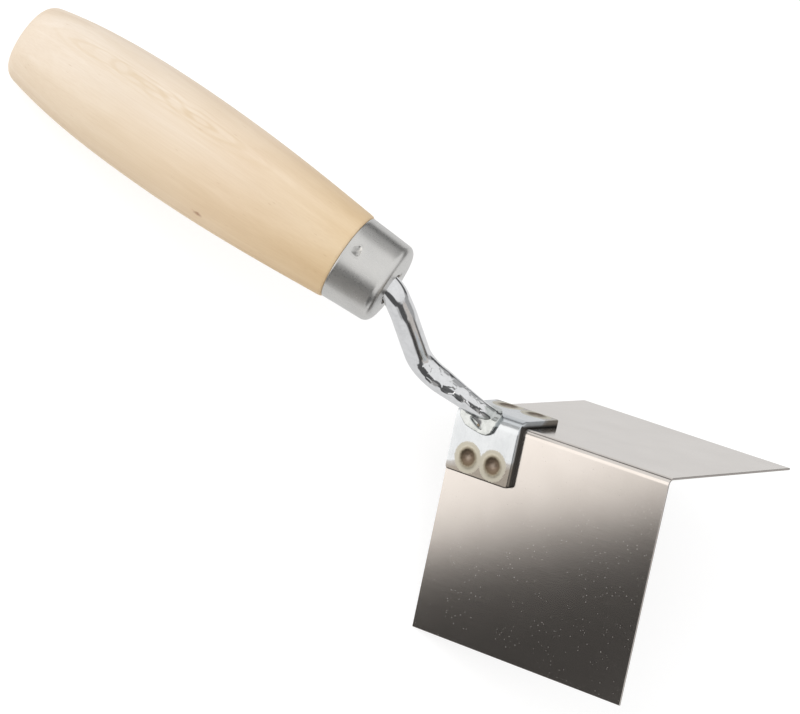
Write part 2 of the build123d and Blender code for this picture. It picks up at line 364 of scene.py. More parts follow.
# -------------------------------- bracket
def bracket_ends(down):
    """The bracket's two ends, which draw in at its rounded corners."""
    from_edge = BRACKET_REACH + BRACKET_SHEET - abs(down)
    inside = max(0.0, BRACKET_CORNER - from_edge)
    draw_in = BRACKET_CORNER - sqrt(max(0.0, BRACKET_CORNER**2 - inside**2))
    return BRACKET_START + draw_in, BRACKET_START + BRACKET_LENGTH - draw_in


def rolled_edge(inside, width, drop):
    """How far the shear has drawn the face down, at a distance inside the edge."""
    share = min(1.0, max(0.0, 1 - inside / width))
    return drop * (1 - sqrt(1 - share**2))


def bracket_offsets(x, down):
    """Sheared plate: edges rolled over on top, and a crater with a raised rim over each weld."""
    top = BRACKET_WAVE * noise.noise(Vector((x * 90, down * 90, 7.7)))
    start, end = bracket_ends(down)
    top -= rolled_edge(end - x, *TOE_ROLL)
    top -= rolled_edge(min(x - start, BRACKET_REACH + BRACKET_SHEET - abs(down)), *EDGE_ROLL)
    for side, weld_x, weld_down in SPOT_WELDS:
        if side * down > 0:
            distance = hypot(x - weld_x * MM, abs(down) - (weld_down * MM + BRACKET_SHEET))
            top -= dish_depth(distance, CRATER_RADIUS, CRATER_DEPTH)
            top += dish_depth(abs(distance - RIM_RADIUS), RIM_WIDTH, RIM_HEIGHT)
            if distance < CRATER_ROUGH_RADIUS:
                top += CRATER_ROUGHNESS * noise.noise(Vector((x * 1400, down * 1400, 0.4)))
    return top, -BRACKET_SHEET


def make_bracket():
    """The folded plate, with a finer mesh in the bend, round the welds and at the edges."""
    reach = BRACKET_REACH + BRACKET_SHEET
    focus = [(-BRACKET_BEND, BRACKET_BEND, BRACKET_BEND / 12)]
    for side in (RIGHT, LEFT):
        for near, far, step in ((12, 21, 0.25), (reach / MM - 1.3, reach / MM, 0.1)):
            a, b = side * near * MM, side * far * MM
            focus.append((min(a, b), max(a, b), step * MM))
    downs = finer(-reach, reach, 0.8 * MM, focus)
    xs = finer(0, BRACKET_LENGTH, 0.25 * MM, [(0, 1.2 * MM, 0.12 * MM),
                                             (BRACKET_LENGTH - 1.2 * MM, BRACKET_LENGTH, 0.12 * MM)])
    stations = unit_stations(BRACKET_LENGTH, xs)
    bracket = sheet_object("folded_bracket", downs, bracket_ends, stations, bracket_offsets,
                           BRACKET_BEND, BRACKET_LIFT, TOOL, BRACKET_BEVEL)
    smooth_by_angle(bracket, radians(35))
    return bracket


# -------------------------------- tang
def rounded_path(points, radii, step):
    """Points a step apart on a polyline in the XZ plane whose inner corners are rounded."""
    corners = [Vector((x * MM, 0, z * MM)) for x, z in points]
    path = [corners[0]]
    for before, corner, after, radius in zip(corners, corners[1:], corners[2:], radii):
        back = (before - corner).normalized()
        ahead = (after - corner).normalized()
        half = acos(max(-1, min(1, back.dot(ahead)))) / 2
        middle = corner + (back + ahead).normalized() * (radius * MM / sin(half))
        first = corner + back * (radius * MM / np.tan(half))
        normal = (first - middle).normalized()
        sweep = pi - 2 * half
        turn_axis = normal.cross(-back).normalized()
        for k in range(9):
            path.append(middle + Matrix.Rotation(sweep * k / 8, 3, turn_axis) @ normal * (radius * MM))
    path.append(corners[-1])
    lengths = np.cumsum([0] + [(b - a).length for a, b in zip(path, path[1:])])
    wanted = np.linspace(0, lengths[-1], round(lengths[-1] / step) + 1)
    columns = [np.interp(wanted, lengths, [p[axis] for p in path]) for axis in range(3)]
    return [Vector(point) for point in zip(*columns)]


def handle_axis_point(along):
    """A point on the handle's axis, in the tool frame and in millimetres, as (x, z)."""
    point = TOOL.inverted() @ (HANDLE @ Vector((0, 0, along)))
    return point.x / MM, point.z / MM


def tube(path, radius_at, around):
    """Vertices and faces of a closed tube round a path in the XZ plane."""
    vertices = []
    for index, point in enumerate(path):
        tangent = (path[min(index + 1, len(path) - 1)] - path[max(index - 1, 0)]).normalized()
        side = Vector((0, 1, 0))
        up = tangent.cross(side)
        for k in range(around):
            turn = 2 * pi * k / around
            radius = radius_at(index / (len(path) - 1), turn)
            vertices.append(point + (up * cos(turn) + side * sin(turn)) * radius)
    faces = loop_faces(len(path), around)
    faces.append(tuple(range(around))[::-1])
    faces.append(tuple(range((len(path) - 1) * around, len(path) * around)))
    return vertices, faces


def make_skirts():
    """Vertices and faces of the saddle hammered out over the bracket's ridge."""
    outline = np.array(SKIRT_OUTLINE) * MM
    around = 14
    inset = 0.05 * MM
    vertices = []
    xs = np.linspace(outline[0][0] + inset, outline[-1][0] - inset, 60)
    for x in xs:
        right, left = (np.interp(x, outline[:, 0], outline[:, side]) / HALF for side in (1, 2))
        downs = np.linspace(-right, left, around)
        for layer, order in ((SKIRT_SHEET, downs), (-SKIRT_ROOT, downs[::-1])):
            for down in order:
                vertices.append(Vector(bent_point(x, down, layer, BRACKET_BEND, BRACKET_LIFT)))
    faces = loop_faces(len(xs), 2 * around)
    faces.append(tuple(range(2 * around))[::-1])
    faces.append(tuple(range((len(xs) - 1) * 2 * around, len(xs) * 2 * around)))
    return vertices, faces


def rod_radius(share, turn):
    """The rod keeps its round section until the forged end, where it is squeezed and its nose closes."""
    nose = max(0.0, (share - NOSE_START) / NOSE_RUN)
    squeeze = max(0.0, min(1.0, (share - SQUEEZE_START) / SQUEEZE_RUN))
    section = 1 - squeeze * (0.10 + 0.26 * sin(turn) ** 2)
    return ROD_RADIUS * section * sqrt(max(0.02, 1 - nose**2))


def facet(place, depth):
    """Height of a hammered surface: every cell is its own small tilted flat."""
    cell = noise.voronoi(place)[1][0]
    tilt = noise.noise_vector(cell * 7.3) * 1.5
    return depth * (noise.noise(cell * 11.9) + tilt.dot(place - cell))


def above_bracket(point):
    """Height of a point over the plane of the bracket's nearer flange."""
    return HALF * (abs(point.y) + point.z - BRACKET_LIFT)


def between(value, low, high):
    """0 below low, 1 above high, and smooth between."""
    share = min(1.0, max(0.0, (value - low) / (high - low)))
    return share * share * (3 - 2 * share)


def forge(point, normal):
    """How far a point of the tang moves out along its normal: scars, scale and the cold shut."""
    lower = 1 - between(point.z, 17 * MM, 23 * MM)
    struck = between(normal.dot(STRUCK_SIDE), 0.60, 0.86)
    if point.x > BRACKET_START:
        struck *= between(above_bracket(point), 1.5 * MM, 2.4 * MM)
    along = point.dot(FORGED_RUN)
    rise = point.dot(FORGED_RUN.cross(Vector((0, 1, 0))))
    place = Vector([value / size for value, size in zip((along, point.y, rise), SCAR_SIZE)]) / MM
    scars = facet(place, SCAR_DEPTH)
    dull = DULL_DEPTH * noise.noise(point * 150)
    return lower * struck * scars + dull - slit(point)


def slit(point):
    """Depth of the cold shut between the near skirt and the core."""
    start, end = (Vector(tip) * MM for tip in SLIT_ENDS)
    place = Vector((point.x, HALF * (BRACKET_LIFT - point.z - point.y)))
    if point.y > -1 * MM or above_bracket(point) > 3.4 * MM:
        return 0
    share = min(1.0, max(0.0, (place - start).dot(end - start) / (end - start).length_squared))
    width = SLIT_HALF_WIDTH * sqrt(max(0.05, 1 - (2 * share - 1) ** 2))
    distance = (place - start.lerp(end, share)).length
    return SLIT_DEPTH * (1 - between(distance, 0.3 * width, width))


def make_tang():
    """Rod and skirts are joined by a voxel remesh, then hammered, and last laid on the bracket."""
    inside = handle_axis_point(STEM_START)
    path = rounded_path([inside, *CRANK_CORNERS, NOSE_CENTRE], CRANK_RADII, 0.5 * MM)
    end = path[-1] + (path[-1] - path[-2]).normalized() * ROD_RADIUS * NOSE_PAST
    path += [path[-1].lerp(end, k / 6) for k in range(1, 7)]
    rod_vertices, rod_faces = tube(path, rod_radius, 56)
    skirt_vertices, skirt_faces = make_skirts()
    shift = len(rod_vertices)
    faces = rod_faces + [tuple(i + shift for i in face) for face in skirt_faces]
    tang = new_object("forged_tang", rod_vertices + skirt_vertices, faces, TOOL)
    face_outwards(tang)

    remesh = tang.modifiers.new("forge", "REMESH")
    remesh.mode = "VOXEL"
    remesh.voxel_size = FORGE_VOXEL
    apply_modifiers(tang)
    normals = [vertex.normal.copy() for vertex in tang.data.vertices]
    for vertex, normal in zip(tang.data.vertices, normals):
        vertex.co += normal * float(forge(vertex.co, normal))
    soften = tang.modifiers.new("soften", "SMOOTH")
    soften.factor = 0.5
    soften.iterations = 2
    apply_modifiers(tang)
    seat_on_bracket(tang)
    for face in tang.data.polygons:
        face.use_smooth = True
    return tang


def apply_modifiers(obj):
    """Bakes the modifiers into the mesh."""
    graph = bpy.context.evaluated_depsgraph_get()
    mesh = bpy.data.meshes.new_from_object(obj.evaluated_get(graph))
    obj.modifiers.clear()
    obj.data = mesh


def seat_on_bracket(obj):
    """Lifts what would sink into the bracket onto its outer face."""
    for vertex in obj.data.vertices:
        x, y, z = vertex.co
        if x < BRACKET_START - 0.4 * MM:
            continue
        centre_z = BRACKET_LIFT - BRACKET_BEND * sqrt(2)
        if abs(y) < (z - centre_z):
            reach = hypot(y, z - centre_z)
            if reach < BRACKET_BEND:
                vertex.co.y *= BRACKET_BEND / max(reach, 1e-6)
                vertex.co.z = centre_z + (z - centre_z) * BRACKET_BEND / max(reach, 1e-6)
        else:
            side = LEFT if y > 0 else RIGHT
            gap = HALF * (side * y + z - BRACKET_LIFT)
            if gap < 0:
                vertex.co.y -= side * HALF * gap
                vertex.co.z -= HALF * gap


# -------------------------------- ferrule
def hole_reach(turn):
    """Distance from the handle's axis to the edge of the oval hole with its two side notches."""
    best = 0
    direction = Vector((cos(turn), sin(turn)))
    for reach in np.arange(3.5, 8.2, 0.02):
        x, y = direction * reach
        centre = min(max(x, HOLE_LINE[0]), HOLE_LINE[1])
        in_notch = abs(x) <= NOTCH_HALF_WIDTH and abs(y) <= NOTCH_REACH
        if hypot(x - centre, y) <= HOLE_RADIUS or in_notch:
            best = reach
    return best * MM


def ferrule_profile():
    """(radius, along) of the ferrule's wall: face, rounded edge, tapering side, rear lip and inside."""
    outer = []
    flat = FERRULE_FRONT - FERRULE_EDGE
    for k in range(15):
        turn = pi / 2 * k / 14
        outer.append((flat + FERRULE_EDGE * sin(turn), FERRULE_EDGE * (1 - cos(turn))))
    for along in finer(FERRULE_EDGE + 0.3 * MM, FERRULE_LENGTH - 0.25 * MM, 0.9 * MM,
                       [(PUNCH_ALONG - PUNCH_REACH, PUNCH_ALONG + PUNCH_REACH, 0.17 * MM)]):
        share = (along - FERRULE_EDGE) / (FERRULE_LENGTH - FERRULE_EDGE)
        outer.append((FERRULE_FRONT + (FERRULE_REAR - FERRULE_FRONT) * share, along))
    rear = [(FERRULE_REAR - 0.08 * MM, FERRULE_LENGTH - 0.06 * MM),
            (FERRULE_REAR - 0.25 * MM, FERRULE_LENGTH),
            (FERRULE_REAR - FERRULE_WALL, FERRULE_LENGTH)]
    inner_edge = FERRULE_EDGE - FERRULE_WALL
    inner = []
    for k in range(9):
        turn = pi / 2 * (1 - k / 8)
        inner.append((flat + inner_edge * sin(turn), FERRULE_WALL + inner_edge * (1 - cos(turn))))
    return outer, rear + inner


def punch_depth(turn, along):
    """The punch mark: a round-cornered pit with a small burr thrown up round it."""
    across = (turn - PUNCH_TURN) * FERRULE_REAR
    distance = hypot(across, along - PUNCH_ALONG)
    angle = atan2(along - PUNCH_ALONG, across)
    radius = PUNCH_RADIUS * (1 + 0.10 * cos(3 * angle + 0.6))
    pit = PUNCH_DEPTH * max(0.0, 1 - distance / radius) ** 0.8
    burr = BURR_HEIGHT * max(0.0, 1 - abs(distance - radius * 1.12) / BURR_WIDTH)
    return pit - burr


def make_ferrule():
    """The wall's loops run from the hole's inner edge over the face and side, and back up the inside."""
    punch = degrees(PUNCH_TURN)
    span = degrees(PUNCH_REACH / FERRULE_REAR)
    notch_sides = [(76, 81, 0.5), (99, 104, 0.5), (-81, -76, 0.5), (-104, -99, 0.5)]
    turns = finer(-180, 178, 2, [(punch - span, punch + span, 0.6), *notch_sides])
    turns = [radians(t) for t in turns]
    outer, inner = ferrule_profile()
    loops = []
    holes = [hole_reach(turn) for turn in turns]
    flat = outer[0][0]
    loops.append([(hole, FERRULE_WALL) for hole in holes])
    loops.append([(hole, 0.25 * MM) for hole in holes])
    loops.append([(hole + 0.18 * MM, 0.02 * MM) for hole in holes])
    for share in (0.15, 0.4, 0.7, 1.0):
        loops.append([(hole + (flat - hole) * share, -0.04 * MM * (1 - share)) for hole in holes])
    for radius, along in outer[1:]:
        dented = [radius - punch_depth(turn, along) for turn in turns]
        wobble = [0.025 * MM * noise.noise(Vector((cos(t) * 2, sin(t) * 2, along * 130))) for t in turns]
        loops.append([(r + w, along) for r, w in zip(dented, wobble)])
    for radius, along in inner:
        loops.append([(radius, along)] * len(turns))
    for share in (0.5, 0.0):
        loops.append([(hole + (flat - hole) * share, FERRULE_WALL) for hole in holes])
    vertices = [
        (radius * cos(turn), radius * sin(turn), along)
        for loop in loops[:-1]
        for turn, (radius, along) in zip(turns, loop)
    ]
    around = len(turns)
    faces = loop_faces(len(loops) - 1, around)
    last = (len(loops) - 2) * around
    for i in range(around):
        j = (i + 1) % around
        faces.append((last + i, last + j, j, i))
    ferrule = new_object("pressed_ferrule", vertices, faces, HANDLE)
    face_outwards(ferrule)
    smooth_by_angle(ferrule, radians(42))
    return ferrule


# -------------------------------- handle
def handle_profile():
    """(radius, along) of the turned wood: spigot end, shoulder, barrel, rounded butt and its crown."""
    rim_start = (BUTT_CENTRE + BUTT_ROUND * cos(BUTT_SLOPE),
                 HANDLE_LENGTH - BUTT_ROUND * (1 - sin(BUTT_SLOPE)))
    side = [(radius * MM, along * MM) for radius, along in HANDLE_SIDE] + [rim_start]
    alongs = np.array([along for radius, along in side]) / HANDLE_LENGTH
    curve = np.polyfit(alongs, [radius for radius, along in side], len(side) - 1)
    shoulder = FERRULE_LENGTH + SHOULDER_GAP
    profile = [(0.0, SPIGOT_START), (SPIGOT_NOSE, SPIGOT_START)]
    profile.append((FERRULE_REAR - FERRULE_WALL, FERRULE_LENGTH))
    start = side[0][0]
    for k in range(7):
        turn = pi / 2 * k / 6
        along = shoulder - SHOULDER_GAP * cos(turn) + 0.05 * MM
        profile.append((start - SHOULDER_ROUND * (1 - sin(turn)), along))
    for along in finer(shoulder + 0.6 * MM, rim_start[1] - 0.5 * MM, 1.1 * MM):
        profile.append((float(np.polyval(curve, along / HANDLE_LENGTH)), along))
    crown_turn = np.arcsin(BUTT_CENTRE / (BUTT_CROWN - BUTT_ROUND))
    for turn in np.linspace(BUTT_SLOPE, pi / 2 - crown_turn, 12):
        along = HANDLE_LENGTH - BUTT_ROUND * (1 - sin(turn))
        profile.append((BUTT_CENTRE + BUTT_ROUND * cos(turn), along))
    middle = HANDLE_LENGTH - BUTT_ROUND - (BUTT_CROWN - BUTT_ROUND) * cos(crown_turn)
    for turn in np.linspace(crown_turn, 0, 7)[1:-1]:
        profile.append((BUTT_CROWN * sin(turn), middle + BUTT_CROWN * cos(turn)))
    profile.append((0.0, middle + BUTT_CROWN))
    return profile


def make_handle():
    """The turned profile swept round, with faint lathe rings and sanding waves in the wood that shows."""
    profile = handle_profile()
    around = 180
    turns = [2 * pi * k / around for k in range(around)]
    vertices = [(0, 0, profile[0][1])]
    for radius, along in profile[1:-1]:
        lathe = LATHE_DEPTH * noise.noise(Vector((0, 0, along * 900)))
        for turn in turns:
            sanding = SANDING_DEPTH * noise.noise(Vector((cos(turn) * 1.4, sin(turn) * 1.4, along * 35)))
            outside = radius + (lathe + sanding if along > FERRULE_LENGTH + 1.5 * MM else 0)
            vertices.append((outside * cos(turn), outside * sin(turn), along))
    vertices.append((0, 0, profile[-1][1]))
    last = len(vertices) - 1
    rows = len(profile) - 2
    faces = [tuple(i + 1 for i in face) for face in loop_faces(rows, around)]
    for i in range(around):
        j = (i + 1) % around
        faces.append((0, j + 1, i + 1))
        faces.append((last, (rows - 1) * around + i + 1, (rows - 1) * around + j + 1))
    handle = new_object("turned_handle", vertices, faces, HANDLE)
    face_outwards(handle)
    smooth_by_angle(handle, radians(40))
    return handle


# -------------------------------- material helpers
class Look:
    """A material whose shader starts as a Principled BSDF, with short ways to add nodes."""

    def __init__(self, name, **constants):
        self.material = bpy.data.materials.new(name)
        self.material.use_nodes = True
        self.tree = self.material.node_tree
        self.shader = self.tree.nodes["Principled BSDF"]
        for socket, value in constants.items():
            self.shader.inputs[socket.replace("_", " ")].default_value = value

    def add(self, kind, inputs=None, **settings):
        node = self.tree.nodes.new(kind)
        for key, value in settings.items():
            setattr(node, key, value)
        for key, value in (inputs or {}).items():
            self.feed(node.inputs[key], value)
        return node

    def feed(self, socket, value):
        if isinstance(value, bpy.types.NodeSocket):
            self.tree.links.new(value, socket)
        else:
            socket.default_value = value

    def place(self, scale=(1, 1, 1), location=(0, 0, 0)):
        """Object coordinates, scaled and then moved."""
        coordinates = self.add("ShaderNodeTexCoord").outputs["Object"]
        inputs = {"Vector": coordinates, "Scale": scale, "Location": location}
        return self.add("ShaderNodeMapping", inputs).outputs["Vector"]

    def noise(self, place, scale=1.0, detail=2.0, roughness=0.5, distortion=0.0):
        inputs = {"Vector": place, "Scale": scale, "Detail": detail, "Roughness": roughness,
                  "Distortion": distortion}
        return self.add("ShaderNodeTexNoise", inputs).outputs["Fac"]

    def ramp(self, value, stops, smooth=False):
        """Colours, or greys given as single numbers, along a value from 0 to 1."""
        node = self.add("ShaderNodeValToRGB", {"Fac": value})
        ramp = node.color_ramp
        ramp.interpolation = "EASE" if smooth else "LINEAR"
        while len(ramp.elements) < len(stops):
            ramp.elements.new(0.5)
        for element, (position, colour) in zip(ramp.elements, stops):
            element.position = position
            grey = isinstance(colour, (int, float))
            element.color = (colour, colour, colour, 1) if grey else (*colour, 1)
        return node.outputs["Color"]

    def mix(self, factor, first, second, blend="MIX"):
        node = self.add("ShaderNodeMix", data_type="RGBA", blend_type=blend)
        for index, value in ((0, factor), (6, first), (7, second)):
            if isinstance(value, tuple) and len(value) == 3:
                value = (*value, 1)
            self.feed(node.inputs[index], value)
        return node.outputs[2]

    def maths(self, operation, first, second=0.0, third=0.0):
        node = self.add("ShaderNodeMath", operation=operation)
        for index, value in enumerate((first, second, third)):
            self.feed(node.inputs[index], value)
        return node.outputs[0]

    def distance_to(self, point, scale=(1, 1, 1)):
        """Distance in millimetres from a point given in millimetres in the piece's own frame."""
        place = self.place(scale=tuple(s / MM for s in scale),
                           location=tuple(-p * s for p, s in zip(point, scale)))
        return self.add("ShaderNodeVectorMath", {0: place}, operation="LENGTH").outputs["Value"]

    def axes(self, scale=1.0):
        """The X, Y and Z outputs of the object coordinates."""
        return self.add("ShaderNodeSeparateXYZ", {"Vector": self.place(scale=(scale,) * 3)}).outputs

    def nearest(self, points):
        """Distance in millimetres from the nearest of some points given in millimetres."""
        least = None
        for point in points:
            distance = self.distance_to(point)
            least = distance if least is None else self.maths("MINIMUM", least, distance)
        return least

    def bump(self, height, distance, strength):
        inputs = {"Height": height, "Distance": distance, "Strength": strength}
        return self.add("ShaderNodeBump", inputs).outputs["Normal"]

    def finish(self, **links):
        for socket, value in links.items():
            self.feed(self.shader.inputs[socket.replace("_", " ")], value)
        return self.material


# -------------------------------- materials
def beech():
    """Pale turned beech: bands, curls, fibres, pores and knots, more brown near the ferrule, and painted
    shade on its -Y side.
    """
    look = Look("beech", Specular_IOR_Level=0.28)
    bands = look.noise(look.place(scale=(1, 1, 0.055)), 120, 4, 0.55, 0.6)
    tone = look.ramp(bands, [(0.30, (0.81, 0.69, 0.56)), (0.52, (0.865, 0.755, 0.635)),
                             (0.72, (0.90, 0.80, 0.695))], True)
    clouds = look.noise(look.place(scale=(1, 1, 0.5)), 60, 3)
    tone = look.mix(1.0, tone, look.ramp(clouds, [(0.35, (0.96, 0.94, 0.91)), (0.65, 1.0)]), "MULTIPLY")
    fibres = look.noise(look.place(scale=(1, 1, 0.02)), 2600, 3, 0.6)
    tone = look.mix(0.22, tone, look.ramp(fibres, [(0.35, (0.86, 0.80, 0.72)), (0.60, 1.0)]), "MULTIPLY")
    for along in CURLS:
        tone = look.mix(curl(look, along), tone, (0.70, 0.54, 0.34))
    pores = look.add("ShaderNodeTexVoronoi", {"Vector": look.place(scale=(1, 1, 0.16)), "Scale": 900.0,
                                              "Randomness": 1.0}).outputs["Distance"]
    field = look.noise(look.place(scale=(1, 1, 0.3)), 130, 2)
    pore = look.maths("MULTIPLY", look.ramp(pores, [(0.05, 1.0), (0.15, 0.0)]),
                      look.ramp(field, [(0.50, 0.0), (0.62, 1.0)]))
    tone = look.mix(look.maths("MULTIPLY", pore, 0.35), tone, (0.56, 0.37, 0.22))
    # darker and more brown towards the ferrule, near white towards the butt
    from_ferrule = look.maths("DIVIDE", look.distance_to((0, 0, 0)), HANDLE_LENGTH / MM)
    tone_towards_ferrule = look.ramp(from_ferrule, [(0.10, (0.86, 0.75, 0.55)), (0.42, (0.95, 0.895, 0.81)),
                                      (0.75, (0.97, 0.96, 0.94)), (1.0, 1.0)])
    tone = look.mix(1.0, tone, tone_towards_ferrule, "MULTIPLY")
    # painted shade: the handle's -Y side is made darker and more yellow-brown
    sideways = look.maths("MULTIPLY", look.axes(50)["Y"], -1.0)
    painted_side_shade = look.ramp(sideways, [(0.35, 1.0), (0.85, (0.985, 0.93, 0.83))])
    tone = look.mix(1.0, tone, painted_side_shade, "MULTIPLY")
    for turn, along, size, colour in KNOTS:
        tone = look.mix(knot(look, turn, along, size), tone, colour)
    height = look.maths("SUBTRACT", fibres, look.maths("MULTIPLY", pore, 1.5))
    roughness = look.ramp(bands, [(0.3, 0.56), (0.7, 0.48)])
    return look.finish(Base_Color=tone, Roughness=roughness, Normal=look.bump(height, 0.00006, 0.35))


def curl(look, along):
    """Mask of the nested arcs where growth rings run out at the surface."""
    arch = look.distance_to((18, 0.5, along), (1, 1, 0.16))
    arch = look.maths("MULTIPLY_ADD", look.noise(look.place(scale=(1, 1, 0.3)), 300, 2), 2.0, arch)
    rings = look.maths("MULTIPLY_ADD", look.maths("SINE", look.maths("MULTIPLY", arch, 4.2)), 0.5, 0.5)
    shown = look.ramp(look.maths("DIVIDE", arch, 10), [(0.25, 1.0), (0.62, 0.0)])
    return look.maths("MULTIPLY", look.ramp(rings, [(0.45, 0.0), (0.95, 0.30)]), shown)


def knot(look, turn, along, size):
    """Mask of a small dark knot with a ragged edge."""
    point = (KNOT_OUT * cos(radians(turn)), KNOT_OUT * sin(radians(turn)), along)
    distance = look.distance_to(point, (1, 1, 0.55))
    ragged = look.maths("MULTIPLY_ADD", look.noise(look.place(), 900, 2), 0.9, distance)
    stops = [((size - 0.5) / 4, 0.85), ((size + 0.35) / 4, 0.0)]
    return look.ramp(look.maths("DIVIDE", ragged, 4), stops)


def from_welds(look, lift):
    """Distance in millimetres from the nearest spot weld, at a lift above the blade's outer face."""
    points = []
    for side, x, down in SPOT_WELDS:
        points.append((x, side * HALF * (down + lift), -HALF * (down - lift)))
    return look.nearest(points)


def over_bracket(look):
    """Height in millimetres over the outer faces of the bracket's two flanges, from the tool frame."""
    axes = look.axes(1 / MM)
    total = look.maths("ADD", look.maths("ABSOLUTE", axes["Y"]), axes["Z"])
    return look.maths("MULTIPLY_ADD", total, HALF, -HALF * BRACKET_LIFT / MM)


def torn_end_and_shade(look, axes):
    """Mask of the lower part of the bracket's toe end, under the part that the shear burnished: fractured
    steel, painted near black as painted shade and a painted dark reflection.
    """
    toe_end = (BRACKET_START + BRACKET_LENGTH) / MM
    at_end = look.ramp(look.maths("MULTIPLY_ADD", axes["X"], 0.1, 0.9 - 0.1 * toe_end),
                       [(0.865, 0.0), (0.88, 1.0)])
    far_side = look.maths("GREATER_THAN", axes["Y"], 0.0)
    burnished = look.maths("MULTIPLY_ADD", far_side, 1.0, over_bracket(look))
    torn_and_shade = look.ramp(look.maths("MULTIPLY_ADD", burnished, 0.2, 0.8),
                     [(0.62, 1.0), (0.72, 0.45), (0.76, 0.1)])
    return look.maths("MULTIPLY", at_end, torn_and_shade)


def zinc_bracket():
    """Bluish zinc plate, with burnt rings over the welds, a duller band along its lower edges, and
    painted shade and a painted dark reflection on the lower part of its toe end.
    """
    look = Look("zinc_bracket", Metallic=1.0)
    cloud = look.noise(look.place(), 160, 4)
    zinc = look.ramp(cloud, [(0.35, (0.585, 0.61, 0.63)), (0.65, (0.64, 0.665, 0.685))])
    axes = look.axes(1 / MM)
    down = look.maths("MULTIPLY_ADD", axes["Z"], -sqrt(2), 2 * BRACKET_SHEET / MM)
    below = look.maths("MULTIPLY_ADD", axes["X"], BAND_SLOPE, down)
    below = look.maths("MULTIPLY_ADD", look.noise(look.place(), 420, 3), 0.8, below)
    band = look.ramp(look.maths("DIVIDE", below, 30), [(0.645, 0.0), (0.665, 0.6), (0.73, 1.0)])
    zinc = look.mix(look.maths("MULTIPLY", band, 0.9), zinc, (0.29, 0.25, 0.205))
    # painted shade and dark reflection: the lower part of the toe end, near black
    zinc = look.mix(torn_end_and_shade(look, axes), zinc, (0.06, 0.058, 0.055))
    distance = from_welds(look, BRACKET_SHEET / MM)
    ragged = look.maths("MULTIPLY_ADD", look.noise(look.place(), 1500, 3), 0.9, distance)
    ring = look.maths("DIVIDE", ragged, 8)
    halo = look.ramp(ring, [(0.66, 1.0), (0.71, 0.0)])
    burnt = look.ramp(ring, [(0.10, (0.40, 0.33, 0.27)), (0.22, (0.20, 0.15, 0.11)),
                             (0.36, (0.16, 0.12, 0.08)), (0.44, (0.38, 0.34, 0.26)),
                             (0.52, (0.60, 0.565, 0.47)), (0.68, (0.62, 0.59, 0.50))])
    colour = look.mix(halo, zinc, burnt)
    scratches = look.noise(look.place(scale=(1, 0.08, 0.08)), 5200, 2)
    roughness = look.mix(halo, look.ramp(scratches, [(0.3, 0.16), (0.7, 0.24)]), (0.42, 0.42, 0.42))
    surface = look.bump(look.noise(look.place(), 2600, 4), 0.00003, 0.3)
    return look.finish(Base_Color=colour, Roughness=roughness, Normal=surface)


def zinc_rod():
    """Bright zinc over forged steel: nearly a mirror, greyer on the skirts, and with painted shade in the
    cold shut.
    """
    look = Look("zinc_rod", Metallic=1.0)
    cloud = look.noise(look.place(), 420, 5, 0.6)
    colour = look.ramp(cloud, [(0.30, (0.70, 0.705, 0.715)), (0.60, (0.77, 0.775, 0.785))])
    roughness = look.ramp(cloud, [(0.35, 0.13), (0.6, 0.08)])
    pressed = look.ramp(look.maths("DIVIDE", over_bracket(look), 5), [(0.26, 1.0), (0.34, 0.0)])
    grey = look.ramp(cloud, [(0.35, (0.44, 0.46, 0.45)), (0.6, (0.56, 0.58, 0.57))])
    colour = look.mix(pressed, colour, grey)
    top = (BRACKET_LIFT + 2 * HALF * SKIRT_SHEET) / MM
    slit_points = [(along, -HALF * down, top - HALF * down) for along, down in SLIT_POINTS]
    # painted shade: near black along the cold shut's slit
    slit_shade = look.ramp(look.maths("DIVIDE", look.nearest(slit_points), 4), [(0.16, 0.9), (0.34, 0.0)])
    colour = look.mix(slit_shade, colour, (0.08, 0.08, 0.085))
    ripple = look.noise(look.place(), 900, 5, 0.65)
    return look.finish(Base_Color=colour, Roughness=roughness, Normal=look.bump(ripple, 0.000015, 0.25))


def zinc_ferrule():
    """Pressed steel under satin zinc: fine drawing lines, scuffs, and a darker punch mark."""
    look = Look("zinc_ferrule", Metallic=1.0)
    cloud = look.noise(look.place(), 150, 4)
    colour = look.ramp(cloud, [(0.3, (0.62, 0.615, 0.60)), (0.7, (0.68, 0.67, 0.65))])
    lines = look.noise(look.place(scale=(1, 1, 0.03)), 3800, 2)
    specks = look.noise(look.place(), 2400, 3, 0.7)
    roughness = look.mix(0.5, look.ramp(lines, [(0.3, 0.26), (0.7, 0.36)]),
                         look.ramp(specks, [(0.4, 0.24), (0.7, 0.42)]))
    height = look.maths("MULTIPLY_ADD", specks, 0.6, lines)
    pit = (FERRULE_REAR / MM * cos(PUNCH_TURN), FERRULE_REAR / MM * sin(PUNCH_TURN), PUNCH_ALONG / MM)
    shade = look.ramp(look.maths("DIVIDE", look.distance_to(pit), 4), [(0.22, 0.75), (0.40, 0.0)])
    colour = look.mix(shade, colour, (0.30, 0.295, 0.285))
    return look.finish(Base_Color=colour, Roughness=roughness, Normal=look.bump(height, 0.000012, 0.25))


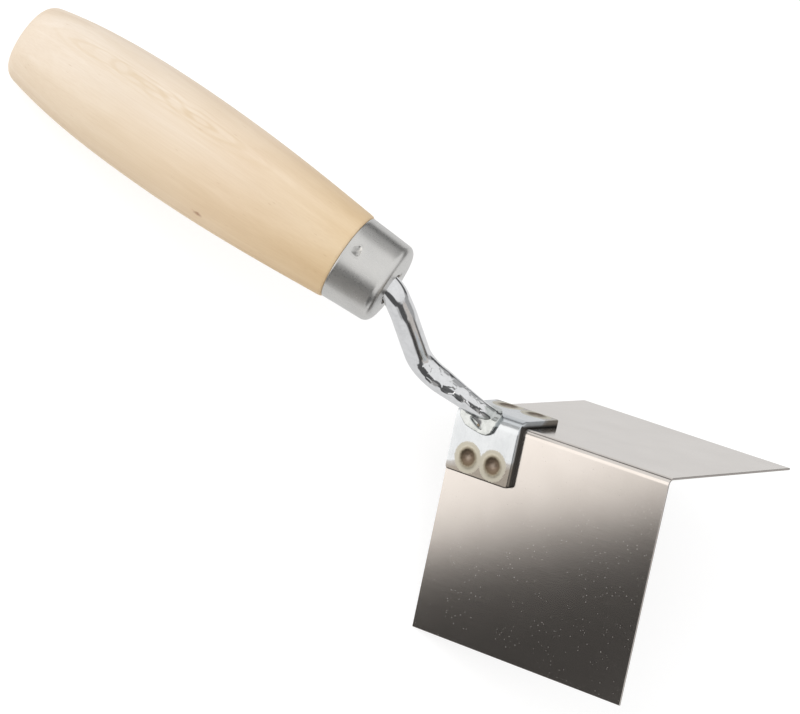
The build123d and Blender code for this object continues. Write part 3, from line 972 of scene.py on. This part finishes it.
def stainless_blade():
    """Cold-rolled stainless sheet: faint rolling lines, dust specks, and heat tint under the welds."""
    look = Look("stainless_blade", Metallic=1.0)
    rolling = look.noise(look.place(scale=(0.03, 1, 1)), 3600, 3, 0.6)
    cloud = look.noise(look.place(), 70, 4)
    steel = look.ramp(cloud, [(0.3, (0.655, 0.61, 0.57)), (0.7, (0.70, 0.655, 0.615))])
    steel = look.mix(0.05, steel, look.ramp(rolling, [(0.3, 0.6), (0.7, 1.0)]), "MULTIPLY")
    dust = look.add("ShaderNodeTexVoronoi", {"Vector": look.place(), "Scale": 850.0}).outputs["Distance"]
    field = look.ramp(look.noise(look.place(), 90, 3), [(0.40, 0.0), (0.56, 1.0)])
    specks = look.maths("MULTIPLY", look.ramp(dust, [(0.05, 1.0), (0.11, 0.0)]), field)
    roughness = look.ramp(rolling, [(0.3, 0.14), (0.7, 0.16)])
    roughness = look.mix(look.maths("MULTIPLY", specks, 0.6), roughness, (0.9, 0.9, 0.9))
    colour = look.mix(look.maths("MULTIPLY", specks, 0.5), steel, (0.9, 0.88, 0.85))
    under_welds = look.maths("DIVIDE", from_welds(look, -BLADE_SHEET / MM), 8)
    colour = look.mix(look.ramp(under_welds, [(0.30, 0.75), (0.62, 0.0)]), colour, (0.42, 0.31, 0.19))
    return look.finish(Base_Color=colour, Roughness=roughness, Normal=look.bump(rolling, 0.000005, 0.08))


def weld_metal():
    """Burnt brown weld metal."""
    look = Look("weld_metal", Metallic=1.0)
    cloud = look.noise(look.place(), 900, 4)
    colour = look.ramp(cloud, [(0.3, (0.26, 0.20, 0.14)), (0.7, (0.44, 0.37, 0.28))])
    return look.finish(Base_Color=colour, Roughness=look.ramp(cloud, [(0.3, 0.35), (0.7, 0.6)]))


# -------------------------------- pieces
def put_on(obj, material, slot, *nodes):
    """Gives a piece its material, and shows it in place of the CAD nodes."""
    obj.data.materials.clear()
    obj.data.materials.append(material)
    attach(obj, "root")
    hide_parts(*nodes)


put_on(make_blade(), stainless_blade(), "stainless_blade", "blade")
put_on(make_bracket(), zinc_bracket(), "zinc_bracket", "bracket")
put_on(make_tang(), zinc_rod(), "zinc_rod", "tang")
put_on(make_ferrule(), zinc_ferrule(), "zinc_ferrule", "ferrule")
put_on(make_handle(), beech(), "beech_wood", "handle")
welds = weld_metal()
for node_name, node in frame["nodes"].items():
    if "weld" in node_name:
        for material_slot in node.material_slots:
            material_slot.material = welds


# -------------------------------- floor, light and camera
def plane(name, width, depth, matrix):
    corners = [(x * width / 2, y * depth / 2, 0) for x, y in ((-1, -1), (1, -1), (1, 1), (-1, 1))]
    return new_object(name, corners, [(0, 1, 2, 3)], matrix)


def make_floor():
    """A pale table that glows a little, so that it reaches white. The metal doesn't see it."""
    floor = plane("floor", FLOOR_SIZE, FLOOR_SIZE, Matrix.Identity(4))
    look = Look("white_table", Roughness=0.9, Specular_IOR_Level=0.0,
                Base_Color=(FLOOR_GREY, FLOOR_GREY, FLOOR_GREY, 1),
                Emission_Color=(1, 1, 1, 1), Emission_Strength=FLOOR_GLOW)
    floor.data.materials.append(look.finish())
    floor.visible_glossy = False


def looking(location, target):
    """The matrix of a lamp or camera that looks from a place at a target."""
    location = Vector(location)
    turn = (Vector(target) - location).to_track_quat("-Z", "Y").to_matrix().to_4x4()
    return Matrix.Translation(location) @ turn


def softbox(name, location, target, side, radiance):
    """A soft light that the camera and the metal don't see."""
    light = bpy.data.lights.new(name, "AREA")
    light.shape = "RECTANGLE"
    light.size = side
    light.size_y = side
    light.energy = radiance * pi * side * side
    lamp = bpy.data.objects.new(name, light)
    bpy.context.scene.collection.objects.link(lamp)
    lamp.matrix_world = looking(location, target)
    lamp.visible_camera = False
    lamp.visible_glossy = False


def world_ramp(tree, share, stops):
    """The colour output of a grey ramp over the given value."""
    ramp = tree.nodes.new("ShaderNodeValToRGB")
    while len(ramp.color_ramp.elements) < len(stops):
        ramp.color_ramp.elements.new(0.5)
    for element, (position, grey) in zip(ramp.color_ramp.elements, stops):
        element.position = position
        element.color = (grey, grey, grey, 1)
    tree.links.new(share, ramp.inputs[0])
    return ramp.outputs[0]


def make_world():
    """A light tent: white table below, a dark gap at the horizon, white cloth overhead, and patches."""
    world = bpy.data.worlds.new("studio")
    bpy.context.scene.world = world
    world.use_nodes = True
    tree = world.node_tree
    coordinates = tree.nodes.new("ShaderNodeTexCoord")
    split = tree.nodes.new("ShaderNodeSeparateXYZ")
    tree.links.new(coordinates.outputs["Generated"], split.inputs[0])
    horizon = tree.nodes.new("ShaderNodeMath")
    horizon.operation = "MULTIPLY_ADD"
    horizon.inputs[1].default_value = 0.5
    horizon.inputs[2].default_value = 0.5
    tree.links.new(split.outputs["Z"], horizon.inputs[0])
    tent = world_ramp(tree, horizon.outputs[0], TENT)
    for middle, operation, stops in TENT_PATCHES:
        facing = tree.nodes.new("ShaderNodeVectorMath")
        facing.operation = "DOT_PRODUCT"
        facing.inputs[1].default_value = Vector(middle).normalized()
        tree.links.new(coordinates.outputs["Generated"], facing.inputs[0])
        patched = tree.nodes.new("ShaderNodeVectorMath")
        patched.operation = operation
        tree.links.new(tent, patched.inputs[0])
        tree.links.new(world_ramp(tree, facing.outputs["Value"], stops), patched.inputs[1])
        tent = patched.outputs[0]
    tree.links.new(tent, tree.nodes["Background"].inputs[0])


def gradient_card():
    """A board seen only in the metal: bright at its upper end and dark at its lower end, as a softbox in
    a dark room is, so that the near flange runs from light at the ridge to dark at its edge."""
    centre = TOOL @ Vector((BLADE_LENGTH / 2, -BLADE_FLANGE * HALF / 2, -BLADE_FLANGE * HALF / 2))
    normal = -TO_CARD
    down = TOOL.to_3x3() @ Vector(CARD_DOWN)
    up = -(down - normal * down.dot(normal)).normalized()
    matrix = frame_matrix(centre + TO_CARD * CARD_DISTANCE, up.cross(normal), up, normal)
    card = plane("gradient_card", CARD_WIDTH, CARD_HEIGHT, matrix)
    look = Look("card_glow", Base_Color=(0, 0, 0, 1), Roughness=1.0, Specular_IOR_Level=0.0)
    share = look.maths("MULTIPLY_ADD", look.axes()["Y"], 1 / CARD_HEIGHT, 0.5)
    stops = []
    for level, grey in CARD_GLOW:
        stops.append((0.5 + level * MM / CARD_HEIGHT, tuple(grey * part for part in CARD_TINT)))
    glow = look.finish(Emission_Color=look.ramp(share, stops), Emission_Strength=1.0)
    card.data.materials.append(glow)
    card.visible_camera = False
    card.visible_diffuse = False
    card.visible_shadow = False


def make_camera():
    """A long lens from above, rolled so that the ridge runs across the picture."""
    data = bpy.data.cameras.new("camera")
    data.sensor_width = CAMERA_SENSOR
    data.lens = CAMERA_LENS
    camera = bpy.data.objects.new("camera", data)
    bpy.context.scene.collection.objects.link(camera)
    camera.matrix_world = looking(CAMERA_PLACE, CAMERA_TARGET) @ Matrix.Rotation(CAMERA_ROLL, 4, "Z")
    bpy.context.scene.camera = camera


make_floor()
make_world()
softbox("key", KEY_PLACE, KEY_TARGET, KEY_SIDE, KEY_RADIANCE)
gradient_card()
make_camera()
bpy.context.scene.view_settings.view_transform = "Standard"
